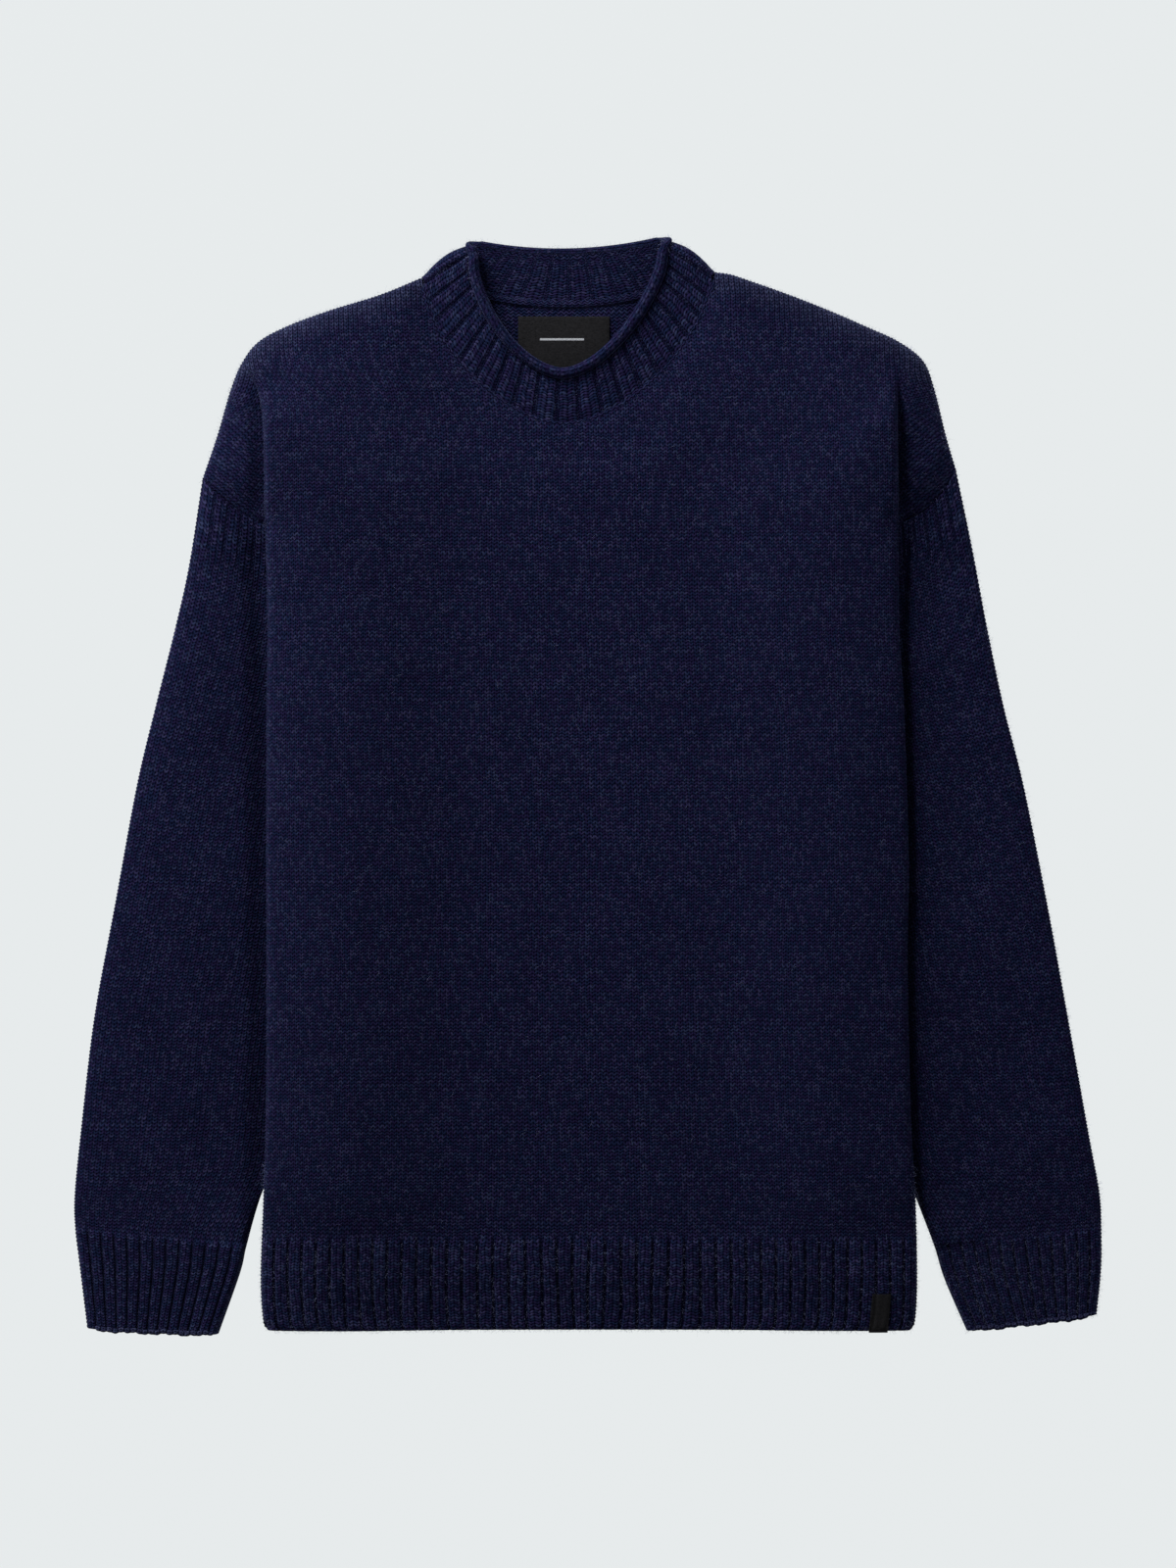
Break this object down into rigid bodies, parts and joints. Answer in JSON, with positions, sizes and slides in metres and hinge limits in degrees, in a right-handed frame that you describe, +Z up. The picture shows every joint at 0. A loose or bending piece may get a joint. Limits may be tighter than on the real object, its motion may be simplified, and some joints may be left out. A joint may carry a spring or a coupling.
{
  "type": "guernsey fisherman sweater",
  "caption": "Heavy knitted pullover laid flat on its back, ribbed mock neck with a rolled edge, drop shoulders, long sleeves tucked under the body's sides, ribbed hem and cuffs.",
  "frame": {"origin": "on the surface that it lies on, under the middle of the whole outline", "axes": "+X to the right of the laid garment, which is the wearer's left; +Y from the hem towards the collar; +Z up from the surface, out of the front"},
  "size_m": [0.6508, 0.6944, 0.0199],
  "materials": {
    "wool_knit": "matt navy melange wool knit",
    "woven_tape": "fine black woven tape"
  },
  "bodies": {
    "root": {"front": "wool_knit", "back": "wool_knit", "sleeve_right": "wool_knit", "sleeve_left": "wool_knit", "collar": "wool_knit", "neck_label": "woven_tape", "hem_tab": "woven_tape"}
  },
  "joints": []
}
